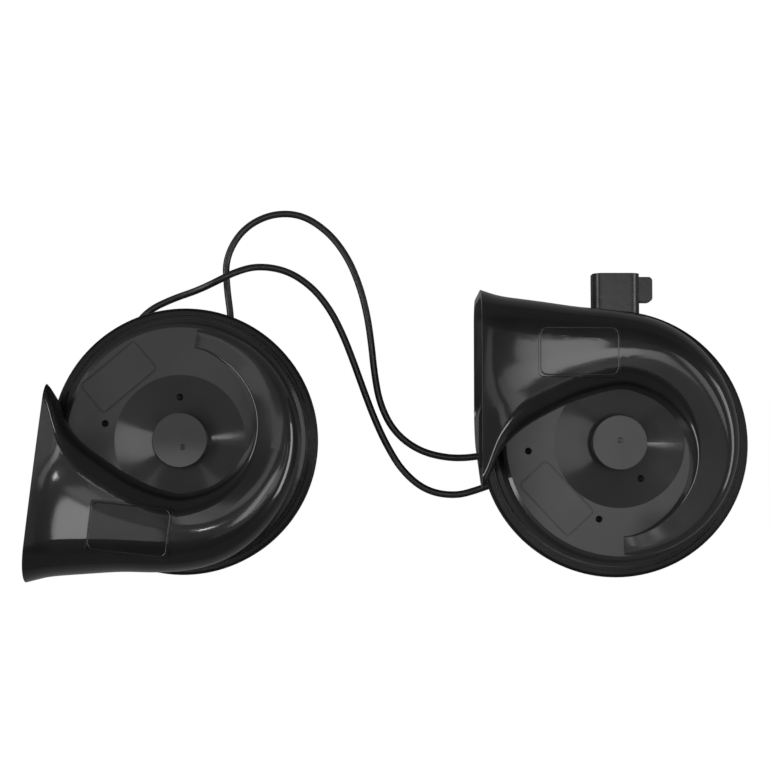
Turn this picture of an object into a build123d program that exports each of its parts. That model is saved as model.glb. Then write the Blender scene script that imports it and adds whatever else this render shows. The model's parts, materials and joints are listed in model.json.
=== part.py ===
from build123d import *
from dataclasses import dataclass
from math import cos, pi, radians, sin, tan
import os

# A pair of twelve-volt electric trumpet horns, a high and a low tone, joined by two leads.
# Each horn lies on its back with the folded trumpet (the "snail") facing up (+Z) and its
# bell mouth facing -X. The horn's own frame has its origin on the horn's axis, on the
# surface that the horns lie on. The low horn is the mirror image of the high one in Y.

# ---------------------------------------------------------------- driving dimensions (mm)
RIM_R = 46.4            # outside radius of the crimped steel rim
RIM_TOP = 28.5          # top of the crimp
CAN_BACK = 10.0         # back face of the steel can
CAN_WALL = 1.2
CAN_FLANGE_Z = 22.0     # underside of the can's flange
CUP_R = 35.0            # outside radius of the can's cup at its back
LIP_R = 42.8            # inside radius of the crimped lip
PART_Z = 30.3           # parting plane of the two trumpet shells
SHELL_WALL = 2.2
PLATEAU_Z = 40.0        # flat face of the trumpet
PLATEAU_R = 39.5
DISH_R = 22.3           # conical dish round the centre disc
DISH_DEPTH = 2.2
DISC_R = 9.2
DISC_Z = 41.2
MOUTH_X = -47.4         # plane of the bell mouth of the high horn
FIT = 0.1               # gap between pieces that slip together

STUD_R = 4.0            # M8 mounting stud
SHANK_R = 4.7           # its shank where it fills the hole in the can
CORE_R = 7.0
CORE_TOP = 19.7
ARMATURE_GAP = 0.7
DIAPHRAGM_Z = 23.7
DIAPHRAGM_T = 0.3
GASKET_T = 0.5

LEAD_D = 2.5            # outside diameter of the leads
LEAD_Z = LEAD_D / 2     # height of a lead's axis where it lies on the surface
STUB_Z = 3.2            # height of the lead outlets' axes
STUB_LENGTH = 10.0


@dataclass
class Horn:
    """Where one horn stands and what sets it apart from the other."""

    name: str
    x: float
    y: float
    turn: float                 # about its axis, counterclockwise from above
    mirrored: bool
    mouth_x: float              # plane of its bell mouth, in its own frame
    lip_out: float              # how much further out the mouth's outer lip flares
    lip_in: float               # how much further in the mouth's inner lip reaches
    label_at: tuple             # middle of the label field
    badge_at: tuple             # middle of the badge field on the bell
    drains: list                # drain holes in the trumpet's face, in its own frame
    cover_arc: tuple            # start and end angle of the terminal cover, row frame
    outlets: list               # lead outlets: x, y of the outer end from the axis, heading
    cover_out: float            # outer radius of the terminal cover
    has_connector: bool = False


HIGH = Horn(
    "high", 77.5, -6.53, 0.0, False,
    mouth_x=MOUTH_X, lip_out=0.0, lip_in=2.2,
    label_at=(-21.6, -19.0),
    badge_at=(-14.7, 30.4),
    drains=[(-31.1, -2.9), (7.3, -12.2), (-7.2, -26.0)],
    cover_arc=(160, 222),
    outlets=[(-32.5, -2.42, 180), (-31.9, -11.42, 194)],
    cover_out=27.0,
    has_connector=True,
)
LOW = Horn(
    "low", -72.25, -5.69, -6.5, True,
    mouth_x=MOUTH_X + 1.6, lip_out=1.5, lip_in=0.2,
    label_at=(-23.3, -19.0),
    badge_at=(-12.0, 31.6),
    drains=[(-26.0, -2.7), (-1.9, -14.6)],
    cover_arc=(52, 146),
    outlets=[(13.85, 34.14, 90), (-23.15, 29.14, 90)],
    cover_out=31.0,
)


# ------------------------------------------------------------------------------- helpers
def radial(angle):
    """Upright plane through the axis; its x runs outwards at the given angle, its y is up."""
    a = radians(angle)
    return Plane(origin=(0, 0, 0), x_dir=(cos(a), sin(a), 0), z_dir=(sin(a), -cos(a), 0))


def across(x):
    """Upright plane across the bell at x; its x runs along +Y, its y is up."""
    return Plane(origin=(x, 0, 0), x_dir=(0, 1, 0), z_dir=(1, 0, 0))


def half_turn(before, at, after):
    """Half the angle by which a route or an outline turns at a corner, in radians."""
    run_in = Vector(*at) - Vector(*before)
    run_out = Vector(*after) - Vector(*at)
    return radians(run_in.get_angle(run_out)) / 2


def turned(points, mode=Mode.ADD):
    """Solid of revolution about the axis from a closed radius-height profile."""
    with BuildSketch(Plane.XZ) as profile:
        with BuildLine():
            Polyline(*points, close=True)
        make_face()
    revolve(profile.sketch, axis=Axis.Z, mode=mode)


def disc(radius, low, high, mode=Mode.ADD):
    """Upright cylinder on the axis between two heights."""
    with BuildSketch(Plane.XY.offset(low)) as outline:
        Circle(radius)
    extrude(outline.sketch, amount=high - low, mode=mode)


def hand_over(piece, horn, name, keeps_row_frame=False):
    """Place a finished piece on its horn, label it and write it."""
    with BuildPart() as placed:
        if horn.mirrored and not keeps_row_frame:
            mirror(piece.part, about=Plane.XZ)
        else:
            add(piece.part)
    turn = 0 if keeps_row_frame else horn.turn
    placed.part.locate(Location((horn.x, horn.y, 0), (0, 0, turn)))
    placed.part.label = f"{horn.name}_{name}"
    export_step(placed.part, f"parts/{placed.part.label}.step")


# ------------------------------------------------------------------- the folded trumpet
# A section of the duct or bell has six rounded corners: outer bottom, outer top, crown,
# inner top, inner foot and inner bottom. A corner is its distance outwards, its height and
# its radius. The crown's radius is worked out, so that the roof curves all the way across.
CROWN = 2
DUCT = [
    (radial(-88), (40.0, 26.0, 1.0), (39.0, 40.2, 1.8), (36.2, 40.25),
     (31.8, 40.2, 0.5), (30.8, 38.0, 0.6), (30.6, 26.0, 1.0)),
    (radial(-76), (40.2, 26.0, 1.0), (39.4, 40.7, 2.5), (36.4, 40.9),
     (31.6, 40.7, 0.6), (29.6, 38.0, 0.8), (29.4, 26.0, 1.0)),
    (radial(-50), (40.8, 26.0, 1.0), (40.0, 42.0, 3.2), (36.0, 42.3),
     (29.5, 42.0, 1.0), (27.0, 38.0, 1.0), (26.6, 26.0, 1.0)),
    (radial(-25), (41.0, 26.0, 1.0), (40.2, 43.6, 4.0), (34.8, 44.0),
     (27.6, 43.7, 1.2), (24.6, 38.0, 1.0), (24.2, 26.0, 1.0)),
    (radial(0), (41.2, 26.0, 1.0), (40.4, 45.2, 5.0), (33.4, 45.7),
     (25.4, 45.2, 2.0), (22.0, 38.0, 1.0), (21.6, 26.0, 1.0)),
    (radial(25), (41.9, 26.0, 1.0), (40.9, 46.8, 6.5), (32.4, 47.5),
     (22.9, 46.6, 4.5), (20.0, 38.0, 1.0), (19.4, 26.0, 1.0)),
    (radial(50), (43.2, 26.0, 1.0), (42.2, 48.3, 8.5), (31.8, 49.0),
     (21.0, 47.8, 6.5), (18.6, 38.0, 1.0), (17.8, 26.0, 1.0)),
    (radial(72), (44.6, 26.0, 1.0), (43.4, 49.3, 10.5), (31.4, 50.0),
     (20.2, 48.7, 7.5), (18.0, 38.0, 1.0), (17.2, 26.0, 1.0)),
    (across(0), (45.8, 26.0, 1.0), (44.6, 49.7, 11.5), (31.0, 50.5),
     (19.8, 49.2, 8.5), (18.0, 38.0, 1.0), (17.0, 26.0, 1.0)),
]
BELL_START = -13.0
BELL = [                # the first value is the share of the way to the mouth
    (0.0, (47.2, 24.0, 2.0), (46.0, 49.9, 12.0), (30.0, 50.8),
     (17.2, 49.4, 9.0), (14.6, 38.0, 3.0), (13.4, 24.0, 1.5)),
    (0.35, (49.0, 18.5, 4.0), (47.8, 50.1, 13.0), (28.5, 51.2),
     (10.8, 49.6, 10.0), (9.3, 38.0, 3.0), (8.4, 18.5, 3.0)),
    (0.64, (50.4, 11.0, 6.0), (49.2, 50.6, 13.5), (26.0, 51.7),
     (3.6, 50.0, 10.0), (3.6, 38.0, 3.0), (5.0, 11.0, 7.0)),
    (0.843, (51.3, 5.0, 7.0), (50.5, 51.4, 13.5), (23.0, 52.3),
     (-5.4, 50.9, 8.0), (-4.0, 38.0, 3.0), (3.2, 5.0, 12.0)),
    (1.0, (52.4, 0.0, 8.0), (52.2, 52.6, 13.0), (20.0, 53.4),
     (-14.8, 52.2, 5.0), (-11.2, 38.0, 3.0), (3.0, 0.0, 18.0)),
]
AIR_START = 1           # the first section lies under the flat face and holds no air
TO_MIDDLE = [(-1, 1), (-1, -1), (0, -1), (1, -1), (1, -1), (1, 1)]
CROWN_SHARE = 0.95      # share of the room beside the crown that its arc takes up
THROAT_R = 5.0          # sound outlet above the diaphragm
CHANNEL_START = -450    # the inner turn of the duct, one turn before the visible one
CHANNEL_END = -84
CHANNEL_STEPS = 10
CHANNEL_W = (6.0, 6.6)
CHANNEL_TOP = (34.6, 35.8)
CHANNEL_R = (5.2, 35.2)
BOSS_R = THROAT_R + 2.0
BOSS_TOP = 38.6         # inside top of the chamber under the centre disc
OVER_RIM = 0.3          # the trumpet clears the steel rim by this much
AIR_OVER_RIM = 1.6      # and its air by this much more
MIN_ARC = 0.4

PLATE_LOW = 28.0        # underside of the plate over the diaphragm
SKIRT_R = (37.0, 38.2)
FLANGE_LOW = DIAPHRAGM_Z + DIAPHRAGM_T + GASKET_T
FLANGE_R = 44.6
FLANGE_TOP = RIM_TOP - CAN_WALL - FIT
PLATE_R = 42.5
STEP_R = (42.3, 41.0)   # the drum's step inside the rim
STEP_Z = (31.8, 32.0)
EDGE = 0.7              # height of the bevelled edge round the flat face

BADGE_SIZE = (27.2, 16.8)   # of the field at BADGE_Z
BADGE_Z = 52.0
BADGE_ROOT = 46.0
BADGE_DRAFT = 0.15      # how much its edges lean outwards going down
BADGE_CORNER = 1.2
BADGE_RISE = 0.6        # the badge field follows the roof, raised by this much


def bell(horn):
    """The bell's sections, stretched to the horn's own mouth and lips."""
    sections = []
    for share, *corners in BELL:
        outwards = horn.lip_out * share ** 2
        inwards = horn.lip_in * share ** 3
        moves = [outwards, outwards, 0, -inwards, -inwards, 0]
        moved = [(u + move, *rest) for (u, *rest), move in zip(corners, moves)]
        sections.append((across(BELL_START + share * (horn.mouth_x - BELL_START)), *moved))
    return sections


def crown_radius(spots, radii):
    """Radius of the crown that uses up the room that the corners beside it leave."""
    rooms = []
    for beside, beyond in ((CROWN - 1, CROWN - 2), (CROWN + 1, CROWN + 2)):
        edge = (Vector(*spots[CROWN]) - Vector(*spots[beside])).length
        bend = half_turn(spots[beyond], spots[beside], spots[CROWN])
        rooms.append(edge - radii[beside] * tan(bend))
    crown_bend = half_turn(spots[CROWN - 1], spots[CROWN], spots[CROWN + 1])
    return CROWN_SHARE * min(rooms) / tan(crown_bend)


def trumpet_loft(sections, wall=0.0, mode=Mode.ADD):
    """Loft through the sections, each drawn in by the wall thickness."""
    faces = []
    for plane, *corners in sections:
        spots = []
        radii = []
        for (u, z, *radius), (aside, upwards) in zip(corners, TO_MIDDLE):
            spots.append((u + aside * wall, z + upwards * wall))
            radii.append(max(radius[0] - wall, MIN_ARC) if radius else 0)
        radii[CROWN] = crown_radius(spots, radii)
        with BuildSketch(plane) as section:
            with BuildLine():
                FilletPolyline(*spots, radius=radii, close=True)
            make_face()
        faces.append(section.sketch)
    loft(faces, mode=mode)


def inner_channel(mode):
    """The duct's first turn: a growing spiral from the throat to the visible duct."""
    faces = []
    for step in range(CHANNEL_STEPS + 1):
        share = step / CHANNEL_STEPS
        angle = CHANNEL_START + share * (CHANNEL_END - CHANNEL_START)
        middle = CHANNEL_R[0] * (CHANNEL_R[1] / CHANNEL_R[0]) ** share
        width = CHANNEL_W[0] + share * (CHANNEL_W[1] - CHANNEL_W[0])
        top = CHANNEL_TOP[0] + share * (CHANNEL_TOP[1] - CHANNEL_TOP[0])
        with BuildSketch(radial(angle)) as section:
            with Locations((middle, (PART_Z + top) / 2)):
                Rectangle(width, top - PART_Z)
        faces.append(section.sketch)
    loft(faces, mode=mode)


with BuildPart() as face:
    # plate over the diaphragm, with the skirt and flange that the crimp holds
    turned([
        (0, PLATE_LOW), (SKIRT_R[0], PLATE_LOW), (SKIRT_R[1], FLANGE_LOW), (FLANGE_R, FLANGE_LOW),
        (FLANGE_R, FLANGE_TOP), (PLATE_R, FLANGE_TOP), (PLATE_R, PART_Z), (0, PART_Z),
    ])
    # raised face: a stepped, slightly tapered drum
    turned([
        (0, PART_Z), (STEP_R[0], PART_Z), (STEP_R[0], STEP_Z[0]), (STEP_R[1], STEP_Z[1]),
        (PLATEAU_R + 0.3, PLATEAU_Z - EDGE), (PLATEAU_R - 0.9, PLATEAU_Z), (0, PLATEAU_Z),
    ])
    # conical dish round the raised centre disc
    turned([
        (0, PLATEAU_Z + 1), (0, PLATEAU_Z - DISH_DEPTH), (DISC_R, PLATEAU_Z - DISH_DEPTH),
        (DISH_R, PLATEAU_Z), (DISH_R, PLATEAU_Z + 1),
    ], mode=Mode.SUBTRACT)
    disc(DISC_R, PLATEAU_Z - DISH_DEPTH, DISC_Z)


def badge_field(horn, sections):
    """Bare field for a badge: the bell's roof raised a little inside a rounded outline."""
    with BuildPart() as field:
        trumpet_loft(sections, -BADGE_RISE)
        outlines = []
        for height in (BADGE_ROOT, BADGE_Z):
            spread = BADGE_DRAFT * (BADGE_Z - height)
            with BuildSketch(Plane.XY.offset(height)) as outline:
                with Locations(horn.badge_at):
                    RectangleRounded(
                        BADGE_SIZE[0] + 2 * spread, BADGE_SIZE[1] + 2 * spread,
                        BADGE_CORNER + spread,
                    )
            outlines.append(outline.sketch)
        loft(outlines, mode=Mode.INTERSECT)
    return field.part


def trumpet(horn):
    """The folded trumpet in one piece, hollowed by its duct."""
    sections = DUCT + bell(horn)
    with BuildPart() as air:
        trumpet_loft(sections[AIR_START:], SHELL_WALL)
        disc(RIM_R + OVER_RIM + AIR_OVER_RIM, -1, PART_Z, mode=Mode.SUBTRACT)
    with BuildPart() as snail:
        trumpet_loft(sections)
        disc(RIM_R + OVER_RIM, -1, RIM_TOP + OVER_RIM, mode=Mode.SUBTRACT)
    with BuildPart() as whole:
        add(face.part)
        add(snail.part)
        add(badge_field(horn, sections))
        add(air.part, mode=Mode.SUBTRACT)
    return whole.part


# ------------------------------------------------------------------------- front details
LABEL_SIZE = (24.4, 13.0)
LABEL_TURN = -46.8
LABEL_CORNER = 1.7
GROOVE_W = 0.5
GROOVE_DEPTH = 0.3
DRAIN_R = 1.15
DRAIN_BOTTOM = 37.0
DRAIN_TIP = 0.6         # height of the pointed bottom of a drain hole


def label_groove(horn):
    """Shallow groove round the label field in the flat face."""
    with BuildSketch(Plane.XY.offset(PLATEAU_Z)) as outline:
        with Locations(Location((*horn.label_at, 0), (0, 0, LABEL_TURN))):
            RectangleRounded(*LABEL_SIZE, LABEL_CORNER)
            RectangleRounded(
                LABEL_SIZE[0] - 2 * GROOVE_W, LABEL_SIZE[1] - 2 * GROOVE_W,
                LABEL_CORNER - GROOVE_W, mode=Mode.SUBTRACT,
            )
    extrude(outline.sketch, amount=-GROOVE_DEPTH, mode=Mode.SUBTRACT)


def front_shell(horn, whole):
    """Upper half of the trumpet: the visible face, the duct's roof and the bell's front."""
    with BuildPart() as shell:
        add(whole)
        split(bisect_by=Plane.XY.offset(PART_Z), keep=Keep.TOP)
        disc(BOSS_R, PART_Z, BOSS_TOP, mode=Mode.SUBTRACT)
        inner_channel(Mode.SUBTRACT)
        label_groove(horn)
        for x, y in horn.drains:
            with Locations((x, y, (DRAIN_BOTTOM + DISC_Z) / 2)):
                Cylinder(DRAIN_R, DISC_Z - DRAIN_BOTTOM, mode=Mode.SUBTRACT)
            with Locations((x, y, DRAIN_BOTTOM - DRAIN_TIP / 2)):
                Cone(0.1 * DRAIN_R, DRAIN_R, DRAIN_TIP, mode=Mode.SUBTRACT)
    hand_over(shell, horn, "front_shell")


def rear_shell(horn, whole):
    """Lower half: floor of the duct with its throat, crimped flange, back of the bell."""
    with BuildPart() as shell:
        add(whole)
        split(bisect_by=Plane.XY.offset(PART_Z), keep=Keep.BOTTOM)
        disc(THROAT_R, FLANGE_LOW, PART_Z, mode=Mode.SUBTRACT)
    hand_over(shell, horn, "rear_shell")


# ------------------------------------------------------------------ steel can and its rim
CAN_HOLE_R = 2.4        # clearance for each terminal post
SPIGOT = (11.0, 6.0)    # connector's root, which passes through the cup's wall
SPIGOT_Z = 16.2
CONNECTOR_X = 2.1       # middle of the connector, off the axis
CUP_WALL = [            # the cup's outer wall, up to the flange
    (CUP_R, CAN_BACK + 3), (CUP_R + 1.2, CAN_FLANGE_Z - 1.6), (CUP_R + 2.6, CAN_FLANGE_Z),
]


def steel_can(horn, posts):
    """Deep-drawn cup with its flange folded over the trumpet's flange as the rim."""
    with BuildPart() as can:
        turned([
            (SHANK_R, CAN_BACK), (CUP_R - 3, CAN_BACK), (CUP_R - 0.9, CAN_BACK + 0.9),
            *CUP_WALL, (RIM_R - 1.2, CAN_FLANGE_Z),
            (RIM_R - 0.3, CAN_FLANGE_Z + 0.4), (RIM_R, CAN_FLANGE_Z + 1.2), (RIM_R, RIM_TOP - 0.9),
            (RIM_R - 0.3, RIM_TOP - 0.2), (RIM_R - 1.0, RIM_TOP), (LIP_R + 1.2, RIM_TOP),
            (LIP_R + 1.0, RIM_TOP - 0.4), (LIP_R, RIM_TOP - 0.4), (LIP_R, RIM_TOP - 1.2),
            (RIM_R - CAN_WALL, RIM_TOP - 1.2), (RIM_R - CAN_WALL, CAN_FLANGE_Z + CAN_WALL),
            (CUP_R + 2.0, CAN_FLANGE_Z + CAN_WALL), (CUP_R + 0.4, CAN_FLANGE_Z - 0.8),
            (CUP_R - CAN_WALL, CAN_BACK + 3), (CUP_R - 2.4, CAN_BACK + CAN_WALL),
            (SHANK_R, CAN_BACK + CAN_WALL),
        ])
        with Locations(*[(x, y, CAN_BACK) for x, y in posts + BREAKER_RIVETS + [SCREW_AT]]):
            Cylinder(CAN_HOLE_R, 4 * CAN_WALL, mode=Mode.SUBTRACT)
        if horn.has_connector:
            with Locations((CONNECTOR_X, CUP_R, SPIGOT_Z)):
                Box(SPIGOT[0] + 2 * FIT, 10, SPIGOT[1] + 2 * FIT, mode=Mode.SUBTRACT)
    hand_over(can, horn, "steel_can")


# --------------------------------------------------------- diaphragm, armature and magnet
ARMATURE_R = 13.0
ARMATURE_T = DIAPHRAGM_Z - CORE_TOP - ARMATURE_GAP
NECK_R = 3.0
NECK_LENGTH = 1.9
COLLAR_R = 6.0
COLLAR_T = 1.0
GASKET_IN = 38.6
GASKET_OUT = RIM_R - CAN_WALL - 0.2
SLIP = 0.02             # daylight between a moving face and the one it rests on
WAVE = 0.6              # height of the diaphragm's pressed rings


def diaphragm(horn):
    """Spring-steel disc with two pressed rings, clamped at its edge by the crimp."""
    low = DIAPHRAGM_Z
    high = DIAPHRAGM_Z + DIAPHRAGM_T
    with BuildPart() as sheet:
        turned([
            (NECK_R + FIT, low), (20.0, low), (22.0, low + WAVE), (24.0, low),
            (28.0, low), (30.0, low + WAVE), (32.0, low), (GASKET_OUT, low),
            (GASKET_OUT, high), (32.0, high), (30.0, high + WAVE), (28.0, high),
            (24.0, high), (22.0, high + WAVE), (20.0, high), (NECK_R + FIT, high),
        ])
    hand_over(sheet, horn, "diaphragm")


def gasket(horn, name, low):
    """Flat paper ring that seals one face of the diaphragm."""
    with BuildPart() as ring:
        disc(GASKET_OUT, low, low + GASKET_T)
        disc(GASKET_IN, low, low + GASKET_T, mode=Mode.SUBTRACT)
    hand_over(ring, horn, name)


def armature(horn):
    """Steel plunger under the diaphragm, with the neck that goes through it."""
    top = DIAPHRAGM_Z - SLIP
    with BuildPart() as plunger:
        turned([
            (0, CORE_TOP + ARMATURE_GAP), (ARMATURE_R - 1, CORE_TOP + ARMATURE_GAP),
            (ARMATURE_R, CORE_TOP + ARMATURE_GAP + 1), (ARMATURE_R, top), (NECK_R, top),
            (NECK_R, top + NECK_LENGTH), (0, top + NECK_LENGTH),
        ])
    hand_over(plunger, horn, "armature")


def armature_collar(horn):
    """Riveted washer that holds the plunger to the diaphragm."""
    low = DIAPHRAGM_Z + DIAPHRAGM_T + SLIP
    with BuildPart() as collar:
        disc(COLLAR_R, low, low + COLLAR_T)
        disc(NECK_R, low, low + COLLAR_T, mode=Mode.SUBTRACT)
    hand_over(collar, horn, "armature_collar")


def core_stud(horn):
    """Magnet core and mounting stud, turned from one bar and upset over the can."""
    with BuildPart() as core:
        turned([
            (0, 0), (STUD_R - 0.8, 0), (STUD_R, 0.8), (STUD_R, CAN_BACK), (SHANK_R, CAN_BACK),
            (SHANK_R, CAN_BACK + CAN_WALL), (CORE_R, CAN_BACK + CAN_WALL),
            (CORE_R, CORE_TOP - 0.5), (CORE_R - 0.5, CORE_TOP), (0, CORE_TOP),
        ])
    hand_over(core, horn, "core_stud")


BOBBIN_LOW = CAN_BACK + CAN_WALL + FIT
BOBBIN_TOP = 19.0
BOBBIN_R = 16.4
BOBBIN_WALL = 1.0
COIL_R = 15.6


def coil_bobbin(horn):
    """Moulded spool round the core."""
    bore = CORE_R + FIT
    with BuildPart() as bobbin:
        turned([
            (bore, BOBBIN_LOW), (BOBBIN_R, BOBBIN_LOW), (BOBBIN_R, BOBBIN_LOW + BOBBIN_WALL),
            (bore + BOBBIN_WALL, BOBBIN_LOW + BOBBIN_WALL), (bore + BOBBIN_WALL, BOBBIN_TOP - BOBBIN_WALL),
            (BOBBIN_R, BOBBIN_TOP - BOBBIN_WALL), (BOBBIN_R, BOBBIN_TOP), (bore, BOBBIN_TOP),
        ])
    hand_over(bobbin, horn, "coil_bobbin")


def coil_winding(horn):
    """Enamelled copper winding, one solid ring."""
    inside = CORE_R + FIT + BOBBIN_WALL
    with BuildPart() as coil:
        disc(COIL_R, BOBBIN_LOW + BOBBIN_WALL, BOBBIN_TOP - BOBBIN_WALL)
        disc(inside, BOBBIN_LOW + BOBBIN_WALL, BOBBIN_TOP - BOBBIN_WALL, mode=Mode.SUBTRACT)
    hand_over(coil, horn, "coil_winding")


# ------------------------------------------------------------------------ contact breaker
# It stands beside the coil, on a line at BREAKER_TURN from the horn's x. Along that line:
# rivets through the insulating base, contacts between them, the spring's tip over the coil.
BREAKER_TURN = -42.0
BREAKER_PLANE = Plane.XY.rotated((0, 0, BREAKER_TURN))
BASE_LOW = CAN_BACK + CAN_WALL
BASE_TOP = BASE_LOW + 2.4
BASE_IN = 18.0
BASE_OUT = 32.0
BASE_W = 13.0
RIVET_Y = 4.4
RIVET_U = 29.0
CONTACT_U = 21.5
SCREW_U = 24.0
STRIP_T = 0.8
LEAF_T = 0.4
LEAF_W = 5.6            # width of the spring leaf and of the strip below it
FOOT = (RIVET_U - 2.2, RIVET_U + 2.5)   # both have a wide foot under the rivets
FOOT_W = 12.6
TIP_U = ARMATURE_R - 2.4    # the leaf's tip, under the plunger's edge
STEP_U = (ARMATURE_R + 4.6, ARMATURE_R + 5.4)   # where the leaf steps up beside the coil
RIVET_R = 1.5
RIVET_HEAD_R = 2.3
SCREW_R = 2.0
SCREW_HEAD_R = 3.4
SCREW_HEAD_LOW = CAN_BACK - 2.2
SLOT_SIZE = (8.0, 0.9)
POINT_R = 1.5
POINT_T = 0.8


def beside_coil(u, v):
    """Point at u along the breaker's line and v across it, in the horn's frame."""
    a = radians(BREAKER_TURN)
    return (u * cos(a) - v * sin(a), u * sin(a) + v * cos(a))


BREAKER_RIVETS = [beside_coil(RIVET_U, RIVET_Y), beside_coil(RIVET_U, -RIVET_Y)]
SCREW_AT = beside_coil(SCREW_U, 0)
LEAF_LOW = BASE_TOP + 4.2
LEAF_TIP = CORE_TOP + ARMATURE_GAP - 0.2


def breaker_slab(u_low, u_high, width, low, high, mode=Mode.ADD):
    """Flat slab on the breaker's line between two distances and two heights."""
    with BuildSketch(BREAKER_PLANE.offset(low)) as outline:
        with Locations(((u_low + u_high) / 2, 0)):
            RectangleRounded(u_high - u_low, width, min(1.0, (u_high - u_low) / 4))
    extrude(outline.sketch, amount=high - low, mode=mode)


def breaker_post(spots, radius, low, high, mode=Mode.ADD):
    """Upright cylinders at the given spots of the horn's frame."""
    with BuildSketch(Plane.XY.offset(low)) as outline:
        with Locations(*spots):
            Circle(radius)
    extrude(outline.sketch, amount=high - low, mode=mode)


def contact_base(horn):
    """Insulating block riveted to the back of the can, with a bore for the screw."""
    with BuildPart() as base:
        breaker_slab(BASE_IN, BASE_OUT, BASE_W, BASE_LOW, BASE_TOP)
        breaker_post(BREAKER_RIVETS, RIVET_R, BASE_LOW, BASE_TOP, mode=Mode.SUBTRACT)
        breaker_post([SCREW_AT], SCREW_R + FIT, BASE_LOW, BASE_TOP, mode=Mode.SUBTRACT)
    hand_over(base, horn, "contact_base")


def fixed_contact(horn):
    """Stiff strip on the block with the lower contact point."""
    top = BASE_TOP + STRIP_T
    with BuildPart() as strip:
        breaker_slab(CONTACT_U - 2.5, FOOT[1], LEAF_W, BASE_TOP, top)
        breaker_slab(*FOOT, FOOT_W, BASE_TOP, top)
        breaker_post(BREAKER_RIVETS, RIVET_R, BASE_TOP, top, mode=Mode.SUBTRACT)
        breaker_post([beside_coil(CONTACT_U, 0)], POINT_R, top, LEAF_LOW - POINT_T)
    hand_over(strip, horn, "fixed_contact")


def breaker_spring(horn):
    """Spring leaf with the upper contact point; its tip reaches under the plunger's edge."""
    foot_low = BASE_TOP + STRIP_T
    with BuildPart() as leaf:
        breaker_slab(*FOOT, FOOT_W, foot_low, LEAF_LOW)
        breaker_post(BREAKER_RIVETS, RIVET_R, foot_low, LEAF_LOW, mode=Mode.SUBTRACT)
        breaker_slab(STEP_U[0], FOOT[1], LEAF_W, LEAF_LOW, LEAF_LOW + LEAF_T)
        breaker_slab(*STEP_U, LEAF_W, LEAF_LOW, LEAF_TIP)
        breaker_slab(TIP_U, STEP_U[1], LEAF_W, LEAF_TIP - LEAF_T, LEAF_TIP)
        breaker_post([beside_coil(CONTACT_U, 0)], POINT_R, LEAF_LOW - POINT_T, LEAF_LOW)
    hand_over(leaf, horn, "breaker_spring")


def contact_rivets(horn):
    """Two rivets that clamp the contacts, the block and the can together."""
    with BuildPart() as rivets:
        breaker_post(BREAKER_RIVETS, RIVET_R, CAN_BACK - 0.1, LEAF_LOW + LEAF_T + 0.1)
        breaker_post(BREAKER_RIVETS, RIVET_HEAD_R, CAN_BACK - 1.2, CAN_BACK)
        breaker_post(BREAKER_RIVETS, RIVET_HEAD_R, LEAF_LOW + LEAF_T, LEAF_LOW + LEAF_T + 0.9)
    hand_over(rivets, horn, "contact_rivets")


def adjusting_screw(horn):
    """Slotted screw in the can's back that sets the contact gap."""
    with BuildPart() as screw:
        breaker_post([SCREW_AT], SCREW_HEAD_R, SCREW_HEAD_LOW, CAN_BACK)
        breaker_post([SCREW_AT], SCREW_R, CAN_BACK, BASE_TOP)
        with BuildSketch(BREAKER_PLANE.offset(SCREW_HEAD_LOW)) as slot:
            with Locations((SCREW_U, 0)):
                Rectangle(*SLOT_SIZE)
        extrude(slot.sketch, amount=1.0, mode=Mode.SUBTRACT)
    hand_over(screw, horn, "adjusting_screw")


# --------------------------------------------------------------------- terminals and cover
COVER_LOW = 1.6
COVER_IN = 14.5
STUB_R = 2.6
BLADE_LOW = 3.0
POST_R = CAN_HOLE_R - FIT
POST_TOP = 13.4
TERMINAL_W = 2.4
TERMINAL_T = 0.8
TERMINAL_TOP = 15.6


def terminal_posts(horn):
    """Two places inside the terminal cover where the terminals enter the can."""
    start, end = horn.cover_arc
    spots = []
    for share in (0.25, 0.75):
        a = radians(start + share * (end - start))
        middle = (COVER_IN + horn.cover_out) / 2
        spots.append((middle * cos(a), middle * sin(a)))
    return spots


def to_own_frame(horn, spots):
    """The same spots seen from the horn's own, turned and mirrored, frame."""
    a = radians(-horn.turn)
    side = -1 if horn.mirrored else 1
    return [(x * cos(a) - y * sin(a), side * (x * sin(a) + y * cos(a))) for x, y in spots]


def terminal_cover(horn):
    """Moulded cover on the can's back with a stub for each lead; stays in the row frame."""
    start, end = horn.cover_arc
    with BuildPart() as cover:
        with BuildSketch(Plane.XY.offset(COVER_LOW)) as sector:
            with BuildLine():
                inner = CenterArc((0, 0), COVER_IN, start, end - start)
                outer = CenterArc((0, 0), horn.cover_out, start, end - start)
                Line(inner @ 0, outer @ 0)
                Line(inner @ 1, outer @ 1)
            make_face()
            fillet(sector.vertices(), 2.5)
        extrude(sector.sketch, amount=CAN_BACK - COVER_LOW)
        chamfer(cover.faces().sort_by(Axis.Z)[0].edges(), 0.8)
        for x, y, heading in horn.outlets:
            a = radians(heading)
            tip = Plane(origin=(x, y, STUB_Z), z_dir=(-cos(a), -sin(a), 0))
            with BuildSketch(tip) as stub:
                Circle(STUB_R - 0.4)
            with BuildSketch(tip.offset(STUB_LENGTH)) as root:
                Circle(STUB_R)
            loft([stub.sketch, root.sketch])
        for spot in terminal_posts(horn):
            breaker_post([spot], POST_R, CAN_BACK, POST_TOP)
            with BuildSketch(Plane.XY.offset(BLADE_LOW)) as blade:
                with Locations(spot):
                    Rectangle(TERMINAL_W, TERMINAL_T)
            extrude(blade.sketch, amount=POST_TOP - BLADE_LOW, mode=Mode.SUBTRACT)
    hand_over(cover, horn, "terminal_cover", keeps_row_frame=True)


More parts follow.
